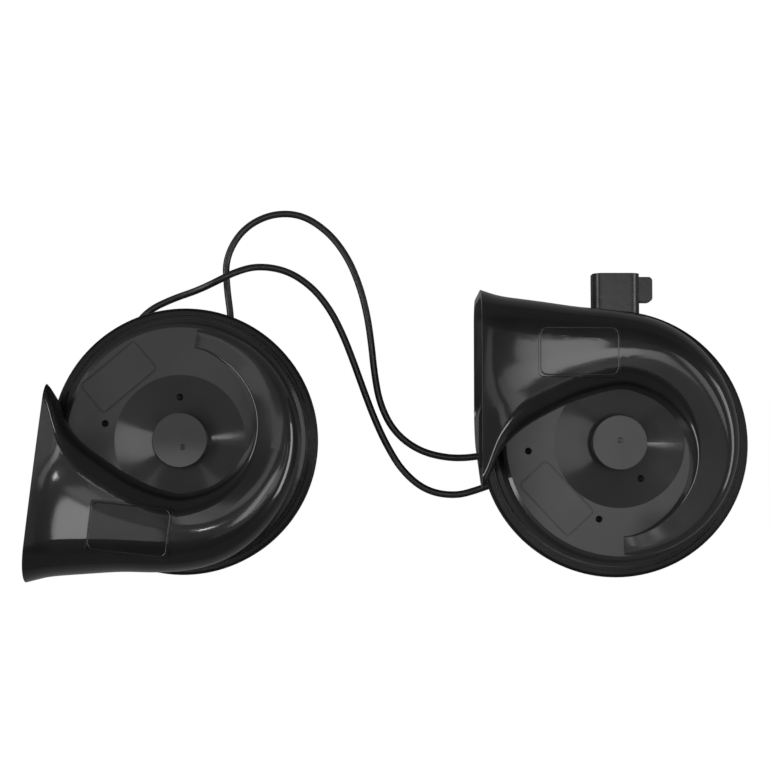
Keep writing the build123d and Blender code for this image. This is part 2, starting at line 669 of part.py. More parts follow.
def terminals(horn):
    """Two brass blades moulded into the cover."""
    with BuildPart() as blades:
        with BuildSketch(Plane.XY.offset(BLADE_LOW)) as outline:
            with Locations(*terminal_posts(horn)):
                Rectangle(TERMINAL_W, TERMINAL_T)
        extrude(outline.sketch, amount=TERMINAL_TOP - BLADE_LOW)
    hand_over(blades, horn, "terminals", keeps_row_frame=True)


# ------------------------------------------------------------------------------ connector
PLUG_W = 16.6
PLUG_H = 11.5
PLUG_CORNER = 3.4
PLUG_END = 60.5
PLUG_WALL = 1.4
PLUG_FLOOR = 45.5
LUG = (15.1, 50.6, 59.4)    # outer x, low y and high y of the locking lug
LUG_H = 6.0
PIN_W = 2.8
PIN_T = 0.8
PIN_PITCH = 6.0
PIN_END = 55.5
PIN_ROOT = 30.0
PINS_X = [CONNECTOR_X - PIN_PITCH / 2, CONNECTOR_X + PIN_PITCH / 2]
SPIGOT_Y = (33.0, CUP_R + 3)    # the connector's root, from inside the cup to its block


def along_connector(y):
    """Upright plane across the connector at y; its x runs along +X, its y is up."""
    return Plane(origin=(CONNECTOR_X, y, SPIGOT_Z), x_dir=(1, 0, 0), z_dir=(0, 1, 0))


def connector_housing(horn):
    """Two-way socket on the cup's wall, open towards +Y, with a locking lug on one side."""
    with BuildPart() as housing:
        with BuildSketch(along_connector(PIN_ROOT)) as block:
            RectangleRounded(PLUG_W, PLUG_H, PLUG_CORNER)
        extrude(block.sketch, amount=PLUG_END - PIN_ROOT)
        with BuildSketch(Plane.XY.offset(SPIGOT_Z - LUG_H / 2)) as lug:
            with Locations(((CONNECTOR_X + LUG[0]) / 2, (LUG[1] + LUG[2]) / 2)):
                RectangleRounded(LUG[0] - CONNECTOR_X, LUG[2] - LUG[1], 1.4)
        extrude(lug.sketch, amount=LUG_H)
        beyond_wall = [(r + FIT, z) for r, z in CUP_WALL]
        turned([
            (0, 0), (CUP_R + FIT, 0), *beyond_wall,
            (beyond_wall[-1][0], CAN_FLANGE_Z + 2), (0, CAN_FLANGE_Z + 2),
        ], mode=Mode.SUBTRACT)
        with BuildSketch(along_connector(PLUG_FLOOR)) as socket:
            RectangleRounded(
                PLUG_W - 2 * PLUG_WALL, PLUG_H - 2 * PLUG_WALL, PLUG_CORNER - PLUG_WALL,
            )
        extrude(socket.sketch, amount=PLUG_END - PLUG_FLOOR, mode=Mode.SUBTRACT)
        with Locations((CONNECTOR_X, sum(SPIGOT_Y) / 2, SPIGOT_Z)):
            Box(SPIGOT[0], SPIGOT_Y[1] - SPIGOT_Y[0], SPIGOT[1])
        with Locations(*[(x, (PIN_ROOT + PLUG_FLOOR) / 2, SPIGOT_Z) for x in PINS_X]):
            Box(PIN_W, PLUG_FLOOR - PIN_ROOT, PIN_T, mode=Mode.SUBTRACT)
    hand_over(housing, horn, "connector_housing")


def connector_pins(horn):
    """Two tinned blades from inside the can to the connector's socket."""
    with BuildPart() as pins:
        with Locations(*[(x, (PIN_ROOT + PIN_END) / 2, SPIGOT_Z) for x in PINS_X]):
            Box(PIN_W, PIN_END - PIN_ROOT, PIN_T)
    hand_over(pins, horn, "connector_pins")


# ---------------------------------------------------------------------------------- leads
BEND_SHARE = 0.45       # share of the shorter run that each bend takes


def lead_path(points):
    """Bend radii for a lead's route: each as large as its two runs allow."""
    spots = [Vector(*point) for point in points]
    radii = []
    for before, at, after in zip(spots, spots[1:], spots[2:]):
        run = min((at - before).length, (after - at).length)
        radii.append(BEND_SHARE * run / tan(half_turn(before, at, after)))
    return radii


def lead(name, points):
    """Round lead swept along straight runs joined by tangent arcs."""
    radii = lead_path(points)
    with BuildPart() as wire:
        with BuildLine() as route:
            FilletPolyline(*points, radius=radii)
        start = Plane(origin=points[0], z_dir=Vector(*points[1]) - Vector(*points[0]))
        with BuildSketch(start) as section:
            Circle(LEAD_D / 2)
        sweep(section.sketch, path=route.wires()[0])
    wire.part.label = name
    export_step(wire.part, f"parts/{name}.step")
    length = sum(edge.length for edge in route.edges())
    share = wire.part.volume / (length * pi * LEAD_D ** 2 / 4)
    print(name, "length", round(length, 1), "volume share", round(share, 4))
    print("  bend radii", [round(radius, 1) for radius in radii])


def outlet_point(horn, index, reach=0.0):
    """Point on a lead outlet's axis, at the stub's end face or straight out from it."""
    x, y, heading = horn.outlets[index]
    a = radians(heading)
    return (horn.x + x + reach * cos(a), horn.y + y + reach * sin(a), STUB_Z)


OVER = LEAD_Z + LEAD_D + 3.0    # height of the upper lead's axis at the crossing
LEAD_A = [
    outlet_point(LOW, 0), outlet_point(LOW, 0, 5.5),
    (-58.9, 41.4, 1.5), (-60.3, 51.0, LEAD_Z), (-60.9, 62.0, LEAD_Z),
    (-55.0, 72.6, LEAD_Z), (-44.8, 78.4, LEAD_Z), (-33.4, 78.4, LEAD_Z), (-23.4, 72.0, LEAD_Z),
    (-16.3, 62.8, LEAD_Z), (-11.8, 52.3, LEAD_Z), (-9.0, 41.6, LEAD_Z), (-7.4, 30.7, LEAD_Z),
    (-6.3, 19.7, LEAD_Z), (-4.3, 8.5, LEAD_Z), (0.8, -1.6, LEAD_Z), (9.5, -8.4, LEAD_Z),
    (20.0, -11.2, LEAD_Z), (30.0, -11.0, 1.5),
    outlet_point(HIGH, 0, 7.5), outlet_point(HIGH, 0),
]
LEAD_B = [
    outlet_point(LOW, 1), outlet_point(LOW, 1, 6.0),
    (-94.0, 36.6, 1.8), (-88.7, 43.0, LEAD_Z), (-79.8, 47.2, LEAD_Z),
    (-71.0, 49.8, 3.6), (-64.0, 52.6, OVER), (-57.0, 56.2, OVER), (-49.0, 59.0, 3.2),
    (-38.4, 57.6, LEAD_Z), (-29.2, 51.6, LEAD_Z), (-22.4, 43.1, LEAD_Z), (-17.6, 33.5, LEAD_Z),
    (-13.7, 23.4, LEAD_Z), (-10.1, 13.3, LEAD_Z), (-6.3, 3.2, LEAD_Z), (-1.7, -6.8, LEAD_Z),
    (4.1, -16.2, LEAD_Z), (12.6, -23.2, LEAD_Z), (23.2, -25.0, LEAD_Z), (32.2, -22.4, 1.6),
    outlet_point(HIGH, 1, 6.5), outlet_point(HIGH, 1),
]


# --------------------------------------------------------------------------- the two horns
for horn in (HIGH, LOW):
    whole = trumpet(horn)
    front_shell(horn, whole)
    rear_shell(horn, whole)
    steel_can(horn, to_own_frame(horn, terminal_posts(horn)))
    diaphragm(horn)
    gasket(horn, "upper_gasket", DIAPHRAGM_Z + DIAPHRAGM_T)
    gasket(horn, "lower_gasket", DIAPHRAGM_Z - GASKET_T)
    armature(horn)
    armature_collar(horn)
    core_stud(horn)
    coil_bobbin(horn)
    coil_winding(horn)
    contact_base(horn)
    fixed_contact(horn)
    breaker_spring(horn)
    contact_rivets(horn)
    adjusting_screw(horn)
    terminal_cover(horn)
    terminals(horn)
    if horn.has_connector:
        connector_housing(horn)
        connector_pins(horn)

lead("lead_a", LEAD_A)
lead("lead_b", LEAD_B)
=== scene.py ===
"""Looks of a twin-tone electric car horn: two folded trumpet horns joined by two leads."""

import json
import math

import bpy
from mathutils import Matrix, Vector
from mathutils.bvhtree import BVHTree


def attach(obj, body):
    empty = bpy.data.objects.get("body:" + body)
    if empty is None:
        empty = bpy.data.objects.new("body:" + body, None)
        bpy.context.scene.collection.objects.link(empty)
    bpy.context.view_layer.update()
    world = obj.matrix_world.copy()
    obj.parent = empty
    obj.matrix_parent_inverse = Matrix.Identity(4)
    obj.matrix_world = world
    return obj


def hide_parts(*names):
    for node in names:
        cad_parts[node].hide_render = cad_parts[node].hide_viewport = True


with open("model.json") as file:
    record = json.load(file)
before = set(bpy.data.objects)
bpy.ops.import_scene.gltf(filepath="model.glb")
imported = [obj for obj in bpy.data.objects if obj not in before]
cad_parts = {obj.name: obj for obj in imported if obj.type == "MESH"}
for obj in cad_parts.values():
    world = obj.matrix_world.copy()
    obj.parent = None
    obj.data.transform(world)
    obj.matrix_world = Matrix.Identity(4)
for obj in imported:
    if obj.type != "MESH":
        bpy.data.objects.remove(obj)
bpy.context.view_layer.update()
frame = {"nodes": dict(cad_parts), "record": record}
NODES = frame["nodes"]

MM = 0.001
SET = "horn_set"            # the body that carries all but the plungers

# ------------------------------------------------------------------ camera
CAMERA_DISTANCE = 600 * MM
CAMERA_TILT = math.radians(3.5)     # away from straight down
CAMERA_AIM = Vector((-2.4 * MM, 15.55 * MM, 0))
CAMERA_NEAR = 0.01                  # clip distance, metres
LENS_MM = 76.7
SENSOR_MM = 36.0


def add_camera():
    """The photo's camera: above the set, looking almost straight down."""
    data = bpy.data.cameras.new("camera")
    data.lens = LENS_MM
    data.sensor_width = SENSOR_MM
    data.clip_start = CAMERA_NEAR
    camera = bpy.data.objects.new("camera", data)
    bpy.context.scene.collection.objects.link(camera)
    back = Vector((0, -math.sin(CAMERA_TILT), math.cos(CAMERA_TILT)))
    camera.location = CAMERA_AIM + back * CAMERA_DISTANCE
    camera.rotation_euler = back.to_track_quat("Z", "Y").to_euler()
    bpy.context.scene.camera = camera


add_camera()

# ------------------------------------------------------------------ leads
HIGH = (77.5, -6.53)        # the horns' axes, in mm
LOW = (-72.25, -5.69)
LEAD_D = 2.5
LEAD_Z = LEAD_D / 2         # height of a lead's axis where it lies on the surface
OVER = LEAD_Z + LEAD_D + 3.0    # and where lead B crosses over lead A
STUB_Z = 3.2                # height of the lead outlets' axes
CURVE_STEPS = 12            # between two control points
SECTION_STEPS = 6           # in a quarter of a lead's section


def outlet(axis, x, y, heading, reach=0.0):
    """Point on a lead outlet's axis, at the stub's end face or straight out from it."""
    a = math.radians(heading)
    return (axis[0] + x + reach * math.cos(a), axis[1] + y + reach * math.sin(a), STUB_Z)


LEAD_A = [
    outlet(LOW, 13.85, 34.14, 90), outlet(LOW, 13.85, 34.14, 90, 5.5),
    (-58.9, 41.4, 1.5), (-60.3, 51.0, LEAD_Z), (-60.9, 62.0, LEAD_Z),
    (-55.0, 72.6, LEAD_Z), (-44.8, 78.4, LEAD_Z), (-33.4, 78.4, LEAD_Z), (-23.4, 72.0, LEAD_Z),
    (-16.3, 62.8, LEAD_Z), (-11.8, 52.3, LEAD_Z), (-9.0, 41.6, LEAD_Z), (-7.4, 30.7, LEAD_Z),
    (-6.3, 19.7, LEAD_Z), (-4.3, 8.5, LEAD_Z), (0.8, -1.6, LEAD_Z), (9.5, -8.4, LEAD_Z),
    (20.0, -11.2, LEAD_Z), (30.0, -11.0, 1.5),
    outlet(HIGH, -32.5, -2.42, 180, 7.5), outlet(HIGH, -32.5, -2.42, 180),
]
LEAD_B = [
    outlet(LOW, -23.15, 29.14, 90), outlet(LOW, -23.15, 29.14, 90, 6.0),
    (-94.0, 36.6, 1.8), (-88.7, 43.0, LEAD_Z), (-79.8, 47.2, LEAD_Z),
    (-71.0, 49.8, 3.6), (-64.0, 52.6, OVER), (-57.0, 56.2, OVER), (-49.0, 59.0, 3.2),
    (-38.4, 57.6, LEAD_Z), (-29.2, 51.6, LEAD_Z), (-22.4, 43.1, LEAD_Z), (-17.6, 33.5, LEAD_Z),
    (-13.7, 23.4, LEAD_Z), (-10.1, 13.3, LEAD_Z), (-6.3, 3.2, LEAD_Z), (-1.7, -6.8, LEAD_Z),
    (4.1, -16.2, LEAD_Z), (12.6, -23.2, LEAD_Z), (23.2, -25.0, LEAD_Z), (32.2, -22.4, 1.6),
    outlet(HIGH, -31.9, -11.42, 194, 6.5), outlet(HIGH, -31.9, -11.42, 194),
]


def add_lead(name, points, node):
    """A free lead: one open smooth spline through its route, round in section."""
    data = bpy.data.curves.new(name, "CURVE")
    data.dimensions = "3D"
    spline = data.splines.new("NURBS")
    spline.points.add(len(points) - 1)
    for control, point in zip(spline.points, points):
        control.co = (*(Vector(point) * MM), 1.0)
        control.radius = LEAD_D / 2 * MM
    spline.order_u = 3
    spline.use_endpoint_u = True
    data.resolution_u = CURVE_STEPS
    data.bevel_depth = 1.0
    data.bevel_resolution = SECTION_STEPS
    data.use_fill_caps = True
    curve = bpy.data.objects.new(name, data)
    bpy.context.scene.collection.objects.link(curve)
    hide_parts(node)
    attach(curve, SET)
    return curve


lead_a = add_lead("lead_a_insulation", LEAD_A, "lead_a")
lead_b = add_lead("lead_b_insulation", LEAD_B, "lead_b")


# ------------------------------------------------------------- moulded details
LOW_TURN = -6.5
HIGH_FIELD = (-14.7, 30.4)      # middle of each badge field, in its horn's own frame
LOW_FIELD = (-12.0, -31.6)
FIELD_SIZE = (27.2, 16.8)
FIELD_SOFT = 0.25               # half the width over which a field's texture changes
BEAD_INSET = 0.5
BEAD_CORNER = 2.2
BEAD = [(-0.3, -0.15), (-0.2, 0.1), (0.0, 0.2), (0.2, 0.1), (0.3, -0.15)]   # across, up
NUB = [(1.05, -0.1), (1.0, 0.12), (0.75, 0.2), (0.45, 0.1), (0.25, 0.12)]   # radius, up
NUB_MIDDLE = (0, 0, 0.05)
NUB_STEPS = 24
HIGH_GATE = (0.0, 0.8)          # gate marks, from each horn's axis along the row's axes
LOW_GATE = (1.0, -2.4)
RAY_START = 80                  # height above all of the part
THREAD_PITCH = 1.25             # M8
THREAD_LOW = 1.25               # first turn's height
THREAD_TURNS = 2.6
THREAD_STEPS = 32               # to a turn
THREAD_FADE = 6                 # steps over which an end runs out
THREAD_ROOT = 3.97              # just inside the stud's 4 mm
THREAD = [(-0.02, -0.42), (0.17, -0.06), (0.17, 0.06), (-0.02, 0.42)]      # out, up


def in_row(axis, turn, x, y):
    """A point of a horn's own frame, in the row's millimetres."""
    a = math.radians(turn)
    return (axis[0] + x * math.cos(a) - y * math.sin(a),
            axis[1] + x * math.sin(a) + y * math.cos(a))


def surface_under(tree, x, y):
    """Point (mm) and normal of the shell's surface below x, y."""
    point, normal, _, _ = tree.ray_cast(Vector((x, y, RAY_START)) * MM, Vector((0, 0, -1)))
    return point / MM, normal


def rounded_rectangle(width, depth, corner, steps=8, spacing=0.8):
    """Closed outline of (x, y, outward angle), anticlockwise."""
    outline = []
    for quarter, (sx, sy) in enumerate([(1, 1), (-1, 1), (-1, -1), (1, -1)]):
        cx, cy = sx * (width / 2 - corner), sy * (depth / 2 - corner)
        for step in range(steps + 1):
            a = math.pi / 2 * (quarter + step / steps)
            outline.append((cx + corner * math.cos(a), cy + corner * math.sin(a), a))
        run = (depth, width)[(quarter + 1) % 2] - 2 * corner
        x, y, a = outline[-1]
        count = int(run / spacing)
        for step in range(1, count):
            reach = run * step / count
            outline.append((x - reach * math.sin(a), y + reach * math.cos(a), a))
    return outline


def add_mesh(name, slot, rows, closed):
    """Smooth strip through rows of points (mm); closed joins the last row to the first."""
    verts = [tuple(Vector(point) * MM) for row in rows for point in row]
    wide, long = len(rows[0]), len(rows)
    faces = []
    for i in range(long if closed else long - 1):
        for j in range(wide - 1):
            a, b = i * wide + j, (i + 1) % long * wide + j
            faces.append((a, b, b + 1, a + 1))
    data = bpy.data.meshes.new(name)
    data.from_pydata(verts, [], faces)
    data.shade_smooth()
    item = bpy.data.objects.new(name, data)
    bpy.context.scene.collection.objects.link(item)
    data.materials.append(SLOT_MATERIALS[slot])
    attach(item, SET)


def add_field_bead(name, tree, axis, turn, middle):
    """Fine raised bead round a badge field, draped on the bell."""
    outline = rounded_rectangle(FIELD_SIZE[0] - 2 * BEAD_INSET, FIELD_SIZE[1] - 2 * BEAD_INSET,
                                BEAD_CORNER)
    rows = []
    for x, y, angle in outline:
        row = []
        for across, up in reversed(BEAD):
            place = in_row(axis, turn, middle[0] + x + across * math.cos(angle),
                           middle[1] + y + across * math.sin(angle))
            point, normal = surface_under(tree, *place)
            row.append(point + normal * up)
        rows.append(row)
    add_mesh(name, "shell", rows, closed=True)


def add_gate_mark(name, tree, axis, middle):
    """Vestige of the moulding gate: a small ring with a sunk centre."""
    point, _ = surface_under(tree, axis[0] + middle[0], axis[1] + middle[1])
    rows = []
    for step in range(NUB_STEPS):
        a = 2 * math.pi * step / NUB_STEPS
        ring = [(r * math.cos(a), r * math.sin(a), up) for r, up in NUB]
        rows.append([point + Vector(p) for p in (*ring, NUB_MIDDLE)])
    add_mesh(name, "shell", rows, closed=True)


def add_thread(name, axis):
    """Rolled thread on the mounting stud: one helical ridge that runs out at both ends."""
    rows = []
    count = int(THREAD_TURNS * THREAD_STEPS)
    for step in range(count + 1):
        a = 2 * math.pi * step / THREAD_STEPS
        fade = min(1.0, step / THREAD_FADE, (count - step) / THREAD_FADE)
        middle = THREAD_LOW + THREAD_PITCH * step / THREAD_STEPS
        rows.append([(axis[0] + (THREAD_ROOT + out * fade) * math.cos(a),
                      axis[1] + (THREAD_ROOT + out * fade) * math.sin(a),
                      middle + up) for out, up in THREAD])
    add_mesh(name, "stud", rows, closed=False)


def shell_tree(node):
    """Tree for casting rays on a node's mesh."""
    mesh = NODES[node].data
    return BVHTree.FromPolygons([v.co for v in mesh.vertices],
                                [f.vertices for f in mesh.polygons])


def add_details():
    """Small moulded and rolled forms that the CAD model leaves to this script."""
    high_tree, low_tree = shell_tree("high_front_shell"), shell_tree("low_front_shell")
    add_field_bead("high_field_bead", high_tree, HIGH, 0.0, HIGH_FIELD)
    add_field_bead("low_field_bead", low_tree, LOW, LOW_TURN, LOW_FIELD)
    add_gate_mark("high_gate_mark", high_tree, HIGH, HIGH_GATE)
    add_gate_mark("low_gate_mark", low_tree, LOW, LOW_GATE)
    add_thread("high_stud_thread", HIGH)
    add_thread("low_stud_thread", LOW)


# ------------------------------------------------------------------ materials
BEVEL_SAMPLES = 6
NOISE_LOW, NOISE_HIGH = 0.3, 0.7                # what a noise mostly keeps within
COLOUR_A, COLOUR_B, COLOUR_OUT = 6, 7, 2        # a colour Mix node's sockets
EDGE_DOT = (0.985, 0.93)        # bevelled against true normal: at an edge's rim, on the edge
SHELL_PAINTED_REFLECTION_FADE = (42, 46)           # heights (mm) over which the painted reflection on the lower faces fades to the crest's black
SHELL_SHEEN = (41, 44)          # over which its gloss rises from low to middling
SHELL_GLOSS = (48.5, 50.5)      # and over which it becomes full
SHELL_STEEP = (18, 28)          # slopes (degrees) over which a wall turns fully glossy
COAT_LOW, COAT_MIDDLING, COAT_FULL = 0.3, 0.5, 1.0
COAT_DULL = 0.2                 # share left at the mouth, and the coat on a badge field


class Shader:
    """A node material under construction: object coordinates in mm, one Principled."""

    def __init__(self, name):
        self.material = bpy.data.materials.new(name)
        self.material.use_nodes = True
        self.tree = self.material.node_tree
        self.tree.nodes.clear()
        output = self.add("ShaderNodeOutputMaterial")
        self.surface = self.add("ShaderNodeBsdfPrincipled")
        self.link(self.surface.outputs["BSDF"], output.inputs["Surface"])
        coordinates = self.add("ShaderNodeTexCoord")
        mapping = self.add("ShaderNodeMapping")
        mapping.inputs["Scale"].default_value = (1 / MM,) * 3
        self.link(coordinates.outputs["Object"], mapping.inputs["Vector"])
        self.place = mapping.outputs["Vector"]
        self.normal = coordinates.outputs["Normal"]

    def add(self, kind):
        """A new node of the material."""
        return self.tree.nodes.new(kind)

    def link(self, source, target):
        """Join an output socket to an input socket."""
        self.tree.links.new(source, target)

    def put(self, **values):
        """Set the Principled's own sockets; names use _ for a space."""
        for name, value in values.items():
            self.surface.inputs[name.replace("_", " ")].default_value = value

    def height(self):
        """Height above the surface that the horns lie on, in mm."""
        split = self.add("ShaderNodeSeparateXYZ")
        self.link(self.place, split.inputs["Vector"])
        return split.outputs["Z"]

    def noise(self, size_mm, detail, roughness=0.5, distortion=0.0, stretch=None):
        """Noise of about that grain; stretch multiplies its frequency along each axis."""
        texture = self.add("ShaderNodeTexNoise")
        texture.inputs["Scale"].default_value = 1 / size_mm
        texture.inputs["Detail"].default_value = detail
        texture.inputs["Roughness"].default_value = roughness
        texture.inputs["Distortion"].default_value = distortion
        source = self.place
        if stretch:
            mapping = self.add("ShaderNodeMapping")
            mapping.inputs["Scale"].default_value = stretch
            self.link(self.place, mapping.inputs["Vector"])
            source = mapping.outputs["Vector"]
        self.link(source, texture.inputs["Vector"])
        return texture.outputs["Fac"]

    def remap(self, value, from_low, from_high, to_low, to_high):
        """value carried from one range to the other and held inside it."""
        node = self.add("ShaderNodeMapRange")
        for name, number in (("From Min", from_low), ("From Max", from_high),
                             ("To Min", to_low), ("To Max", to_high)):
            if isinstance(number, bpy.types.NodeSocket):
                self.link(number, node.inputs[name])
            else:
                node.inputs[name].default_value = number
        self.link(value, node.inputs["Value"])
        return node.outputs["Result"]

    def mix(self, share, first, second):
        """Colour that goes from the first to the second as share goes from 0 to 1."""
        node = self.add("ShaderNodeMix")
        node.data_type = "RGBA"
        self.link(share, node.inputs[0])
        self.link(first, node.inputs[COLOUR_A])
        self.link(second, node.inputs[COLOUR_B])
        return node.outputs[COLOUR_OUT]

    def calc(self, kind, first, second):
        """One Math node; either value may be a number."""
        node = self.add("ShaderNodeMath")
        node.operation = kind
        for socket, value in zip(node.inputs, (first, second)):
            if isinstance(value, bpy.types.NodeSocket):
                self.link(value, socket)
            else:
                socket.default_value = value
        return node.outputs[0]

    def slope(self, gentle, steep):
        """0 where the surface lies flatter than the gentle angle (degrees), 1 beyond the steep."""
        split = self.add("ShaderNodeSeparateXYZ")
        self.link(self.normal, split.inputs["Vector"])
        return self.remap(split.outputs["Z"], math.cos(math.radians(gentle)),
                          math.cos(math.radians(steep)), 0.0, 1.0)

    def bevelled(self, radius_mm):
        """Normal of the surface with its edges rounded."""
        bevel = self.add("ShaderNodeBevel")
        bevel.samples = BEVEL_SAMPLES
        bevel.inputs["Radius"].default_value = radius_mm * MM
        return bevel.outputs["Normal"]

    def edges(self, radius_mm):
        """1 along a sharp edge, 0 a radius away from it."""
        bevelled = self.bevelled(radius_mm)
        geometry = self.add("ShaderNodeNewGeometry")
        dot = self.add("ShaderNodeVectorMath")
        dot.operation = "DOT_PRODUCT"
        self.link(bevelled, dot.inputs[0])
        self.link(geometry.outputs["True Normal"], dot.inputs[1])
        return self.remap(dot.outputs["Value"], *EDGE_DOT, 0.0, 1.0)

    def own_axes(self, middle, turn):
        """X and Y from a point of the row, along axes turned by so many degrees."""
        mapping = self.add("ShaderNodeMapping")
        mapping.vector_type = "TEXTURE"
        mapping.inputs["Location"].default_value = (*middle, 0)
        mapping.inputs["Rotation"].default_value = (0, 0, math.radians(turn))
        self.link(self.place, mapping.inputs["Vector"])
        split = self.add("ShaderNodeSeparateXYZ")
        self.link(mapping.outputs["Vector"], split.inputs["Vector"])
        return split.outputs["X"], split.outputs["Y"]

    def inside(self, middle, size, turn):
        """1 inside an upright box on the row's X and Y, 0 outside, with a soft edge."""
        sides = []
        for along, full in zip(self.own_axes(middle, turn), size):
            reach = self.calc("ABSOLUTE", along, 0.0)
            sides.append(self.remap(reach, full / 2 - FIELD_SOFT, full / 2 + FIELD_SOFT,
                                    1.0, 0.0))
        return self.calc("MULTIPLY", *sides)

    def ramp(self, value, *stops):
        """Colour ramp over value; each stop is (position, colour)."""
        node = self.add("ShaderNodeValToRGB")
        elements = node.color_ramp.elements
        while len(elements) < len(stops):
            elements.new(0.5)
        for element, (position, color) in zip(elements, stops):
            element.position = position
            element.color = (*color, 1.0)
        self.link(value, node.inputs["Fac"])
        return node.outputs["Color"]

    def tint(self, grain, dark, light):
        """Base colour that wanders between two tones as the noise does."""
        self.link(self.ramp(grain, (NOISE_LOW, dark), (NOISE_HIGH, light)),
                  self.surface.inputs["Base Color"])

    def rough(self, grain, least, most):
        """Roughness that wanders between two values as the noise does."""
        self.link(self.remap(grain, NOISE_LOW, NOISE_HIGH, least, most),
                  self.surface.inputs["Roughness"])

    def bump(self, layers, edge_mm=0.0):
        """Chain of (height, distance in mm) bumps over softened edges."""
        normal = self.bevelled(edge_mm) if edge_mm else None
        for height, distance in layers:
            node = self.add("ShaderNodeBump")
            node.inputs["Strength"].default_value = 1.0
            node.inputs["Distance"].default_value = distance * MM
            self.link(height, node.inputs["Height"])
            if normal:
                self.link(normal, node.inputs["Normal"])
            normal = node.outputs["Normal"]
        self.link(normal, self.surface.inputs["Normal"])


def glossy_shell(name, axis, turn, gloss_from, gloss_at, field=None):
    """Moulded black plastic: hard gloss on the bell's crest, satin on the lower faces, whose base
    colour is painted lighter as a painted reflection.

    The gloss dies away at the mouth, between gloss_at and gloss_from on the horn's own X.
    field is the middle of a dull badge field, in the row's millimetres.
    """
    shader = Shader(name)
    height = shader.height()
    tone = shader.noise(30, 3)
    # painted reflection: base colour painted lighter grey on the lower faces and blacker on the
    # crest above them
    low = shader.ramp(tone, (NOISE_LOW, (0.017, 0.017, 0.018)),
                      (NOISE_HIGH, (0.023, 0.023, 0.024)))
    high = shader.ramp(tone, (NOISE_LOW, (0.0045, 0.0045, 0.005)),
                       (NOISE_HIGH, (0.007, 0.007, 0.0075)))
    painted_reflection_fade = shader.remap(height, *SHELL_PAINTED_REFLECTION_FADE, 0.0, 1.0)
    shader.link(shader.mix(painted_reflection_fade, low, high), shader.surface.inputs["Base Color"])
    haze = shader.noise(14, 5, 0.6, 0.4)
    shader.link(shader.remap(haze, 0.35, 0.75, 0.3, 0.42), shader.surface.inputs["Roughness"])
    shader.put(IOR=1.27, Coat_Roughness=0.08, Coat_IOR=1.5)
    coat = shader.calc("MAXIMUM", shader.remap(height, *SHELL_SHEEN, COAT_LOW, COAT_MIDDLING),
                       shader.remap(height, *SHELL_GLOSS, COAT_LOW, COAT_FULL))
    along, _ = shader.own_axes(axis, turn)
    at_mouth = shader.remap(along, gloss_from, gloss_at, COAT_DULL, 1.0)
    coat = shader.calc("MULTIPLY", coat, at_mouth)
    if field:
        coat = shader.remap(shader.inside(field, FIELD_SIZE, turn), 0.0, 1.0, coat, COAT_DULL)
    coat = shader.calc("MAXIMUM", coat, shader.slope(*SHELL_STEEP))
    shader.link(coat, shader.surface.inputs["Coat Weight"])
    shader.bump([(shader.noise(9, 1), 0.02), (shader.noise(0.9, 2), 0.0015)], edge_mm=0.35)
    return shader.material


def satin_can():
    """Electrocoated deep-drawn steel, glossier along its edges."""
    shader = Shader("satin_black_paint")
    shader.tint(shader.noise(12, 4), (0.005, 0.005, 0.0055), (0.008, 0.008, 0.0085))
    shader.rough(shader.noise(6, 4, 0.6), 0.24, 0.38)
    shader.put(IOR=1.22, Coat_Roughness=0.12, Coat_IOR=1.5)
    shader.link(shader.remap(shader.edges(0.22), 0.0, 1.0, 0.06, 0.9),
                shader.surface.inputs["Coat Weight"])
    shader.bump([(shader.noise(0.5, 3), 0.004)], edge_mm=0.3)
    return shader.material


def textured_plastic(name, low, high, rough):
    """Fine spark-eroded texture on black plastic."""
    shader = Shader(name)
    shader.tint(shader.noise(8, 4), (low,) * 3, (high,) * 3)
    shader.rough(shader.noise(2.0, 4, 0.6), rough - 0.06, rough + 0.08)
    shader.put(IOR=1.5)
    shader.bump([(shader.noise(0.25, 2), 0.006)], edge_mm=0.3)
    return shader.material


def insulation():
    """Soft-sheen PVC lead insulation with slight drawing waves."""
    shader = Shader("black_insulation")
    shader.tint(shader.noise(5, 3), (0.008,) * 3, (0.013,) * 3)
    shader.rough(shader.noise(3.0, 3), 0.3, 0.45)
    shader.put(IOR=1.5)
    shader.bump([(shader.noise(1.6, 2), 0.02), (shader.noise(0.3, 2), 0.004)])
    return shader.material


def plated(name, dark, light, rough, tint_mm=4.0):
    """Plated or bare metal with uneven tone and fine scratches."""
    shader = Shader(name)
    shader.tint(shader.noise(tint_mm, 5, 0.6), dark, light)
    shader.rough(shader.noise(1.2, 4, 0.6, 0.0, (1, 1, 6)), rough - 0.08, rough + 0.1)
    shader.put(Metallic=1.0)
    shader.bump([(shader.noise(0.3, 3, 0.6, 0.0, (1, 1, 8)), 0.003)], edge_mm=0.15)
    return shader.material


def sheet_gasket():
    """Fibre gasket sheet."""
    shader = Shader("gasket_sheet")
    shader.tint(shader.noise(0.6, 4), (0.05, 0.042, 0.035), (0.11, 0.095, 0.08))
    shader.put(Roughness=0.85)
    shader.bump([(shader.noise(0.3, 2), 0.02)])
    return shader.material


